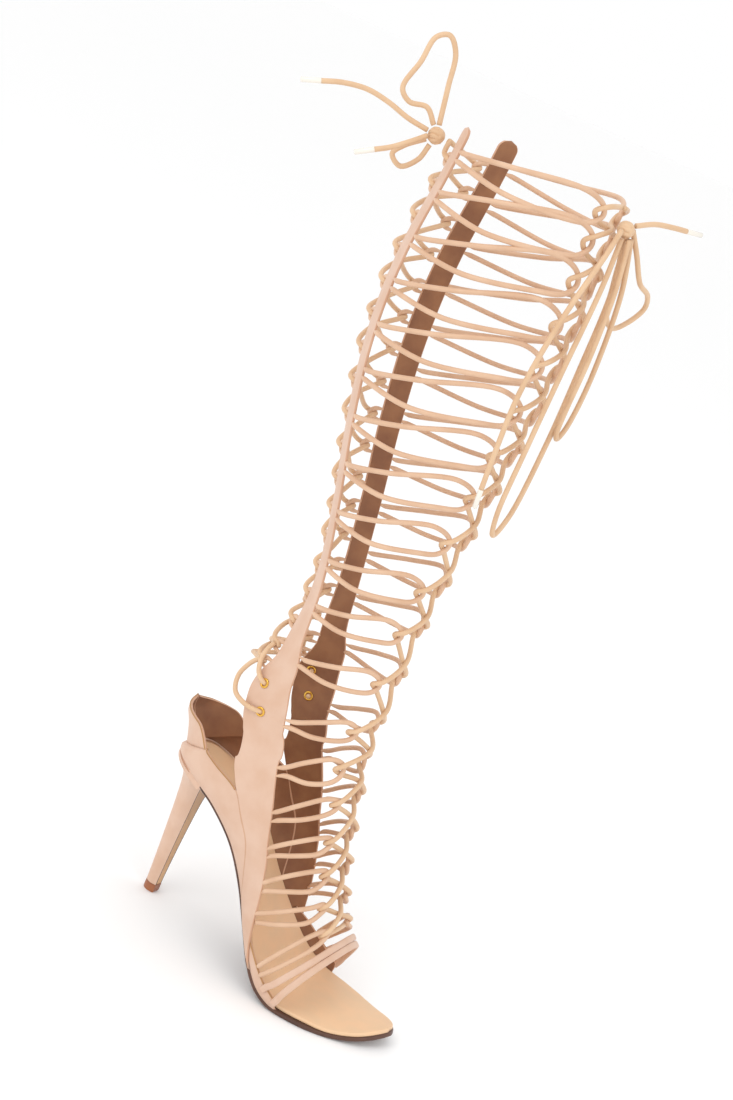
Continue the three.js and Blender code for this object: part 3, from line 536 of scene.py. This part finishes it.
# ---------------------------------------------------------------- low side pieces and toe bands
# A low leather piece stands at each side of the ball, under the quarter's
# point, and runs forward into two narrow rolled bands over the toes.
HALF_LOW_WALL = 0.75
rim_s = np.linspace(1.6, 4.0, 61)
rim_t = along_table(RIM[:, 0], RIM[:, 1], rim_s)
strips = [leather_strip(rim_s, rim_t, np.full(len(rim_s), 180.0), side,
                        lambda s: np.full(len(s), HALF_LOW_WALL), HALF_LOW_WALL,
                        always, always, ends=(True, True)) for side in (-1.0, 1.0)]
tone_piece("low_side_pieces", strips, ())
TOE_BANDS = np.array([  # angle, fore band, aft band, as sections
    (0, 1.95, 2.19), (45, 1.93, 2.2), (80, 1.87, 2.27), (106, 1.82, 2.36), (130, 1.82, 2.38),
])
BAND_HALF = 0.12
BAND_THICK = 2.4
BAND_END = 128
BAND_SIDES = 20


def squared(v):
    """A sine or cosine pushed out toward a rounded square."""
    return np.sign(v) * np.abs(v) ** 0.75


def toe_band(k, out):
    """A rolled band along line k of TOE_BANDS: a flattened ring, BAND_HALF of a section to each side
    and half of BAND_THICK to each face, carried round the foot between its two ends."""
    a = np.linspace(-BAND_END, BAND_END, 181)[:, None]
    turn = np.radians(np.arange(BAND_SIDES) * (360 / BAND_SIDES))[None, :]
    s = along_table(TOE_BANDS[:, 0], TOE_BANDS[:, k], np.abs(a)) + BAND_HALF * squared(np.cos(turn))
    points = around(s, a + 0 * s, out + BAND_THICK / 2 * squared(np.sin(turn)))
    return points, closed_tube(len(a), BAND_SIDES, False)


mended(piece("toe_band_fore", *toe_band(1, 1.9), nude, (), "leather"))
mended(piece("toe_band_aft", *toe_band(2, 2.3), nude, (), "leather"))

# ---------------------------------------------------------------- bindings
# Fine golden-brown piping is sewn along the counter's topline, from the foot
# of the notch round the heel, and along the top of the low side pieces.
piping = leather("golden_piping", "b98a55", "a67846", rough=0.45)
PIPING_HALF = 0.45
PIPING_DOWN = 1.2


def tube(line, radius, sides):
    """A round tube on a line: at each point a circle across the line's slope, its start direction
    carried along the line with no twist. The radius may change along the line."""
    line = np.asarray(line, float)
    slope = np.gradient(line, axis=0)
    slope /= np.maximum(np.linalg.norm(slope, axis=1), 1e-9)[:, None]
    up = np.array([0.31, 0.52, 0.79])
    ups = np.empty_like(line)
    for i, way in enumerate(slope):
        up = up - way * up.dot(way)
        up = up / max(np.linalg.norm(up), 1e-9)
        ups[i] = up
    acrosses = np.cross(slope, ups)
    turn = np.arange(sides) / sides * 2 * np.pi
    wide = np.broadcast_to(radius, len(line))[:, None, None]
    points = line[:, None] + wide * (ups[:, None] * np.cos(turn)[None, :, None]
                                     + acrosses[:, None] * np.sin(turn)[None, :, None])
    return points.reshape(-1, 3), closed_tube(len(line), sides)


def joined(name, tubes, material, replaces=(), slot="cord"):
    """Several tubes as one mesh."""
    points, faces, start = [], [], 0
    for p, f in tubes:
        points.append(p)
        faces += [[i + start for i in one] for one in f]
        start += len(p)
    return piece(name, np.vstack(points), faces, material, replaces, slot)


topline_s = np.linspace(NOTCH, CUP_TOP, 80)
topline_t = np.minimum(notch_edge(topline_s) + PIPING_DOWN, 180)
lateral_line, medial_line = (form_point(topline_s, topline_t, side, INSET) for side in (-1.0, 1.0))
piped = [np.vstack([lateral_line, medial_line[::-1]])]
piped += [form_point(rim_s[6:-3], rim_t[6:-3] + PIPING_DOWN, side, 2 * HALF_LOW_WALL + 0.1)
          for side in (-1.0, 1.0)]
joined("piping", [tube(line, PIPING_HALF, 8) for line in piped], piping, (), "leather")

# ---------------------------------------------------------------- eyelets
# Four polished brass eyelets, set through the quarters at the ankle, two to a
# side, with a rolled flange outside and a flat washer inside.
EYELETS = {"lower": (9.5, 91.0), "upper": (10.3, 109.0)}


def plain(name, settings):
    """A plain material: the shader's inputs by name."""
    made = bpy.data.materials.new(name)
    made.use_nodes = True
    for key, value in settings.items():
        made.node_tree.nodes["Principled BSDF"].inputs[key].default_value = value
    return made


gold = plain("polished_brass", {"Base Color": [*linear("e6b553"), 1], "Metallic": 1, "Roughness": 0.18})


def eyelet(at, normal):
    """A turned ring: a profile of radius and height swept round the hole's axis."""
    arc = np.radians(np.linspace(0, 180, 9))
    profile = np.vstack([[(1.8, -0.7), (3.3, -0.7), (3.3, -0.35), (2.1, -0.35), (2.1, 1.9)],
                         np.c_[2.6 + 0.8 * np.cos(arc), 2.0 + 0.75 * np.sin(arc)], [(1.8, 1.6)]])
    side_way = np.cross(normal, (0, 0, 1.0))
    side_way /= np.linalg.norm(side_way)
    other = np.cross(normal, side_way)
    turn = np.radians(np.arange(0, 360, 11.25))
    ring = side_way * np.cos(turn)[:, None] + other * np.sin(turn)[:, None]
    points = at + profile[:, 0][:, None, None] * ring[None] + profile[:, 1][:, None, None] * normal
    points = np.concatenate([points, points[:1]], 0)
    return points, quads(len(points), len(turn), True)


for side, label in ((-1.0, "lateral"), (1.0, "medial")):
    for level, (s, t) in EYELETS.items():
        normal = form_normal(s, t, side).reshape(3)
        at = form_point(s, t, side, SKIN_CLEAR).reshape(3)
        points, faces = eyelet(at, normal)
        mended(piece(f"brass_eyelet_{label}_{level}", points, faces.tolist(), gold,
                     [f"eyelet_{label}_{level}"], "eyelets"))

# ---------------------------------------------------------------- front cord loops
# Nineteen loops of 3.3 mm round leather cord a side. Each end is sewn in under
# the quarter's or stay's front edge, and its loop lies round the leg.
LOOPS = np.array([  # section of the root, section of the tip, opening at the tip
    (2.95, 2.8, 9), (4.2, 3.6, 9), (4.85, 4.45, 13), (5.55, 5.3, 11), (6.3, 6.3, 11),
    (7.5, 7.6, 16), (9.3, 9.4, 15), (11.2, 11.35, 16), (12.3, 12.6, 17), (13.15, 13.4, 20),
    (13.85, 14.15, 21), (14.47, 14.8, 22),
    (15.05, 15.38, 24), (15.6, 15.94, 25), (16.14, 16.5, 25), (16.67, 17.02, 25), (17.2, 17.52, 25),
    (17.74, 18.0, 24), (18.35, 18.5, 20),
])
CORD = 3.3
SEWN_HALF = 0.75
CORD_SIDES = 12
TIP_FROM_MIDDLE = 13.0
ROOT_GAP = 5.5
CORD_OUT = 1.7
LOOP_STEPS = 8
cord_pink = leather("loop_cord", "dcb798", "d3ab8b", rough=0.42, grain=0.08)
cord_straw = leather("lace_cord", "dfbc97", "d6b08a", rough=0.42, grain=0.08)


def step_length(s, t):
    """Millimetres along the form for one section step."""
    return float(np.linalg.norm(form_base(s + 0.1, t, 1.0) - form_base(s - 0.1, t, 1.0)) / 0.2)


def tip_angle(s):
    """Angle at which a loop's tip stands TIP_FROM_MIDDLE off the middle line."""
    return float(np.degrees(np.arcsin(TIP_FROM_MIDDLE / along_table(section_keys, FORM[:, 5], s))))


def root_angle(i):
    """Angle of the leather's edge where loop i comes out."""
    s = LOOPS[i, 0]
    return float(along_table(RIM[:, 0], RIM[:, 1], s) if i == 0 else front_edge(s))


def loop_line(i, side):
    """A teardrop: both arms leave from under the edge ROOT_GAP apart, the upper one stays level and
    bends down round the tip, and the lower one sags back to the root."""
    root, tip, tall = LOOPS[i]
    root_a, tip_a = root_angle(i), tip_angle(tip)
    reach = tip_a - root_a
    gap, open_ = ROOT_GAP / 2 / step_length(root, root_a), tall / 2 / step_length(tip, 30)
    slack = open_ - gap
    tucked = 4.0
    rows = np.array([
        (root + gap, root_a + tucked, 1.1), (root + gap, root_a + 0.5, 1.1),
        (root + gap * 1.05, root_a - 5, 1.4),
        (root + 0.4 * (tip - root) + gap + 0.5 * slack, root_a + 0.4 * reach, CORD_OUT),
        (tip + open_ * 0.88, root_a + 0.8 * reach, CORD_OUT + 0.4),
        (tip + open_ * 0.42, root_a + 0.965 * reach, CORD_OUT + 0.9),
        (tip - open_ * 0.15, tip_a, CORD_OUT + 0.9),
        (tip - open_ * 0.72, root_a + 0.93 * reach, CORD_OUT + 0.7),
        (tip - open_ * 1.02, root_a + 0.76 * reach, CORD_OUT),
        (root + 0.4 * (tip - root) - gap - 0.75 * slack, root_a + 0.4 * reach, CORD_OUT - 0.2),
        (root - gap * 1.05, root_a - 5, 1.4),
        (root - gap, root_a + 0.5, 1.1), (root - gap, root_a + tucked, 1.1),
    ])
    return through(around(rows[:, 0], side * rows[:, 1], rows[:, 2]), LOOP_STEPS)


def sewn_in(count, steps):
    """Radius along a loop: SEWN_HALF where an end is sewn in the wall, swelling to the full cord
    between the second and third stations."""
    from_end = np.minimum(np.arange(count), np.arange(count)[::-1]) / steps
    return SEWN_HALF + (CORD / 2 - SEWN_HALF) * np.clip(from_end - 0.9, 0, 1)


loop_lines = [loop_line(i, side) for side in (-1, 1) for i in range(len(LOOPS))]
joined("front_cord_loops",
       [tube(line, sewn_in(len(line), LOOP_STEPS), CORD_SIDES) for line in loop_lines],
       cord_pink, ["front_lacing"])

# ---------------------------------------------------------------- front lace
# One long lace runs up the middle in crosses: at each tip it comes over the
# loop, goes through it, and leaves under it for the next cross above.
def lace_line(side):
    """Strand that changes side at every loop pair: over the rim, through the loop, under the rim."""
    rows = []
    for i, (root, tip, tall) in enumerate(LOOPS):
        here = side if i % 2 == 0 else -side
        a = tip_angle(tip)
        open_ = tall / 2 / step_length(tip, 30)
        over = 0.6 if (i % 2 == 0) == (side > 0) else -0.1
        if i > 0:
            low = (LOOPS[i - 1, 1] + tip) / 2
            rows.append((low, 0, CORD_OUT + (2.6 if over > 0 else -0.2)))
        rows += [(tip - open_ * 0.55, here * (a - 1), -0.3),
                 (tip - open_ * 0.05, here * (a + 7), 1.2),
                 (tip + open_ * 0.42, here * (a + 1.5), 5.4)]
    rows.append((LOOPS[-1, 1] + 0.2, 0, CORD_OUT + 4 + side))
    rows = np.array(rows)
    return through(around(rows[:, 0], rows[:, 1], rows[:, 2]), 8)


FOOT_BAR = np.array([(-1, 0.2), (-0.5, 1.6), (0, 2.2), (0.5, 1.6), (1, 0.2)])  # share of the way, out
first_tip = LOOPS[0, 1]
foot_bar = through(around(np.full(len(FOOT_BAR), first_tip - 0.08),
                          FOOT_BAR[:, 0] * tip_angle(first_tip), FOOT_BAR[:, 1]), 8)
joined("front_lace",
       [tube(line, CORD / 2, CORD_SIDES) for line in (lace_line(-1), lace_line(1), foot_bar)],
       cord_straw, ["front_lacing"])

# ---------------------------------------------------------------- back lacing
# Short cord loops stand along the back edge of each stay, and a second lace
# crosses between them from the ankle eyelets up to a small bow.
BACK_STEPS = 6
back_levels = np.r_[10.75, 11.2, 11.75, 12.35, 12.9, np.arange(13.4, 18.5, 0.4)]


def degrees_a_mm(s):
    """Degrees round the form for one millimetre, taken at its widest."""
    return 1 / float(along_table(section_keys, FORM[:, 5], s)) / math.radians(1)


def back_loop_line(s, side):
    """A short U: out of the stay's back edge, 8 mm long, and back in 7.2 mm lower."""
    gap = 3.6 / step_length(s, 150)
    edge, mm = float(back_edge(s)), degrees_a_mm(s)
    rows = np.array([
        (s + gap, edge - 3.5 * mm, 1.1), (s + gap, edge - 0.3 * mm, 1.1),
        (s + gap * 0.8, edge + 5 * mm, 1.6), (s, edge + 8 * mm, 2.4),
        (s - gap * 0.8, edge + 5 * mm, 1.6),
        (s - gap, edge - 0.3 * mm, 1.1), (s - gap, edge - 3.5 * mm, 1.1),
    ])
    return through(around(rows[:, 0], side * rows[:, 1], rows[:, 2]), BACK_STEPS)


def back_lace_line(side):
    """Strand that changes side at every level: over the loop's rim, through it and under it."""
    rows = [(10.5, side * 180.0, 3.4)]
    for i, s in enumerate(back_levels):
        here = side if i % 2 == 0 else -side
        step = 3.0 / step_length(s, 150)
        edge, mm = float(back_edge(s)), degrees_a_mm(s)
        rows += [(s - step * 0.6, here * (edge + 9 * mm), -0.6), (s, here * (edge + 4 * mm), 1.4),
                 (s + step * 0.7, here * (edge + 9 * mm), 5.0)]
        if i < len(back_levels) - 1:
            rows.append(((s + back_levels[i + 1]) / 2, side * 180.0, 2.2 + side * 1.6))
    rows.append((18.48, -156.0, 5.5))
    rows = np.array(rows)
    return through(around(rows[:, 0], rows[:, 1], rows[:, 2]), 7)


EYELET_RUNS = {  # section, degrees, out: from the lowest back loops down past the quarter's edge
    "lower": [(10.75, 136, 4.2), (10.5, 136, 5.2), (10.15, 130, 5.8), (9.8, 118, 5.6),
              (9.6, 103, 5.0), (9.53, 94.5, 3.8)],
    "upper": [(11.2, 139, 4.6), (11.0, 138, 5.4), (10.75, 132, 5.4), (10.5, 121, 5.0),
              (10.35, 112.5, 3.8)],
}


def eyelet_run(name, side):
    """One of the lace's lower ends: from a back loop down over the quarter's edge to an eyelet."""
    s, t = EYELETS[name]
    rows = np.array(EYELET_RUNS[name] + [(s, t, 1.4), (s, t - 0.6, -1.8)])
    return through(around(rows[:, 0], side * rows[:, 1], rows[:, 2]), 8)


back_lines = [back_loop_line(s, side) for side in (-1, 1) for s in back_levels]
joined("back_cord_loops", [tube(line, sewn_in(len(line), BACK_STEPS), 10) for line in back_lines],
       cord_pink, ["back_lacing"])
back_laces = [back_lace_line(side) for side in (-1.0, 1.0)]
back_laces += [eyelet_run(name, side) for name in EYELETS for side in (-1.0, 1.0)]
joined("back_lace", [tube(line, CORD / 2, CORD_SIDES) for line in back_laces],
       cord_straw, ["back_lacing"])

# ---------------------------------------------------------------- knots
# Each bow is drawn tight in a small knot: two windings of the cord lie one on
# another, each going round about two and a half times.
KNOT_HALF = 5.4
KNOT_TURNS = 2.6
front_knot = np.array([112.5, 0.0, 540.0])
back_knot_out = INSET + 1.12 * CORD / 2 + 0.9 + 1.6 + CORD / 2 + GAP + KNOT_HALF + 0.4
back_knot = around(18.45, -158.0, back_knot_out).reshape(3)


def knot(at, lean):
    """Cord wound on a ball: latitude runs from 38 degrees off one pole to 38 off the other while
    longitude goes round KNOT_TURNS times, leaned about X."""
    u = np.linspace(0, 1, 110)
    lat = np.radians(38 + 104 * u)
    turn = 2 * np.pi * KNOT_TURNS * u
    ball = (KNOT_HALF - CORD / 2) * np.c_[
        np.sin(lat) * np.cos(turn), np.cos(lat), np.sin(lat) * np.sin(turn)]
    lean = math.radians(lean)
    turned = np.c_[ball[:, 0], ball[:, 1] * math.cos(lean) - ball[:, 2] * math.sin(lean),
                   ball[:, 1] * math.sin(lean) + ball[:, 2] * math.cos(lean)]
    return tube(at + turned, CORD / 2, CORD_SIDES)


joined("front_knot_cord", [knot(front_knot, 20), knot(front_knot, 85)], cord_straw, ["front_knot"])
joined("back_knot_cord", [knot(back_knot, -25), knot(back_knot, 60)], cord_straw, ["back_knot"])

# ---------------------------------------------------------------- bows
# The lace's ends are tied in slack bows: long loops hang down the shin in
# front, and a small bow stands at the back of the knee. Clear film tips.
aglet_film = plain("aglet_film", {"Base Color": [*linear("efe9de"), 1], "Roughness": 0.12,
                                  "Coat Weight": 0.6})
AGLET = 12.0
AGLET_RADII = np.array([1.3, 1.68, 1.7, 1.62, 1.2])


def bow_cord(name, node, knot_at, rows, aglet_node=None):
    """A free cord through stations given from its knot, with a clear aglet at its end when aglet_node
    is given.
    """
    line = through(np.array(rows, float) + knot_at, 14)
    made = joined(name, [tube(line, CORD / 2, CORD_SIDES)], cord_straw, [node])
    if aglet_node:
        way = line[-1] - line[-2]
        way /= np.linalg.norm(way)
        tip = line[-1] + way * np.array([-0.4, 0.3, 1.0, AGLET, AGLET + GAP])[:, None]
        joined(name + "_aglet", [tube(tip, AGLET_RADII, 16)], aglet_film,
                              [aglet_node], "aglets")


bow_cord("long_bow_loop", "front_bow_long", front_knot, [
    (1, -3, -5.5), (5, -10, -35), (6, -14, -90), (6, -14, -140), (5, -9, -186), (5, 1, -201),
    (6, 11, -188), (7, 14, -140), (7, 11, -90), (6, 6, -35), (1, 2, -6)])
bow_cord("second_bow_loop", "front_bow_second", front_knot, [
    (4, 4.5, -4), (11, 10, -36), (13, 20, -88), (12, 23, -116), (11.5, 20.5, -127), (11, 15.5, -132),
    (11, 10.5, -127), (11.3, 7.5, -114),
    (12, 4, -78), (10, 0, -34), (5, -1, -4.5)])
bow_cord("side_bow_loop", "front_bow_side", front_knot, [
    (2, 6.2, 1), (8, 15, -12), (13, 28, -27), (16, 43, -33), (15, 51, -42), (11, 45, -53),
    (7, 34, -59), (4, 24, -53), (2, 15, -32), (0.5, 6, -4)])
bow_cord("side_lace_end", "front_end_side", front_knot, [
    (3, 4.5, 4), (10, 15, 9), (17, 26, 11), (23, 36, 12)], "front_aglet_side")
bow_cord("long_lace_end", "front_end_long", front_knot, [
    (0, -6.3, -1), (2, -20, -18), (-2, -30, -58), (-6, -33, -108), (-5, -31, -150), (-4, -29, -172)],
    "front_aglet_long")
bow_cord("upper_back_loop", "back_bow_upper", back_knot, [
    (-1, 0, 6.3), (-4, -3, 29), (-7, -5, 48), (-13, -9, 56), (-19, -13, 52), (-21, -15, 36),
    (-24, -18, 18), (-19, -13, 12), (-10, -6, 13), (-4, -1, 5.2)])
bow_cord("upper_back_end", "back_end_upper", back_knot, [
    (-5.3, -3.4, 1), (-16, -12, 3), (-28, -20, 7), (-40, -28, 9), (-52, -37, 7), (-62, -44, 3)],
    "back_aglet_upper")
bow_cord("lower_back_loop", "back_bow_lower", back_knot, [
    (-5, -1, -4.2), (-14, -7, -13), (-18, -9, -20), (-12, -5, -25), (-4, -2, -17), (-1.5, -0.5, -6.4)])
bow_cord("lower_back_end", "back_end_lower", back_knot, [
    (-3, -5.5, -2), (-8, -14, -9), (-15, -20, -16), (-22, -25, -21)],
    "back_aglet_lower")

# ---------------------------------------------------------------- floor, light and camera
# A plain pale studio: floor, even sky, one large soft key from the left, one
# fill from the right.
floor_paint = plain("studio_floor", {"Base Color": (0.99, 0.99, 0.99, 1), "Roughness": 0.7})
floor_mesh = bpy.data.meshes.new("floor")
floor_mesh.from_pydata([(-30, -30, 0), (30, -30, 0), (30, 30, 0), (-30, 30, 0)], [], [(0, 1, 2, 3)])
floor_mesh.materials.append(floor_paint)
floor = bpy.data.objects.new("floor", floor_mesh)
bpy.context.collection.objects.link(floor)

sky = bpy.data.worlds.new("studio")
sky.use_nodes = True
sky.node_tree.nodes["Background"].inputs["Color"].default_value = (1, 1, 1, 1)
sky.node_tree.nodes["Background"].inputs["Strength"].default_value = 1.0
bpy.context.scene.world = sky
bpy.context.scene.view_settings.view_transform = "Standard"


def lamp(name, at, power, size):
    """A square soft light aimed at the shoe's middle."""
    data = bpy.data.lights.new(name, "AREA")
    data.energy, data.size = power, size
    made = bpy.data.objects.new(name, data)
    made.location = at
    made.rotation_euler = (Vector((0.05, 0, 0.25)) - Vector(at)).to_track_quat("-Z", "Y").to_euler()
    bpy.context.collection.objects.link(made)


lamp("key", (-0.5, -1.7, 1.9), 12, 1.2)
lamp("fill", (1.9, -0.7, 1.2), 4, 1.4)

AZIMUTH, ELEVATION, ROLL = 22.0, 16.0, 24.0
DISTANCE = 1.15
AIM = Vector((0.045, 0.0, 0.290))
a, e = math.radians(AZIMUTH), math.radians(ELEVATION)
away = Vector((math.sin(a) * math.cos(e), -math.cos(a) * math.cos(e), math.sin(e)))
camera_data = bpy.data.cameras.new("camera")
camera_data.lens, camera_data.clip_end = 59, 100
camera = bpy.data.objects.new("camera", camera_data)
camera.matrix_world = (Matrix.Translation(AIM + away * DISTANCE)
                       @ (-away).to_track_quat("-Z", "Y").to_matrix().to_4x4()
                       @ Matrix.Rotation(math.radians(ROLL), 4, "Z"))
bpy.context.collection.objects.link(camera)
bpy.context.scene.camera = camera
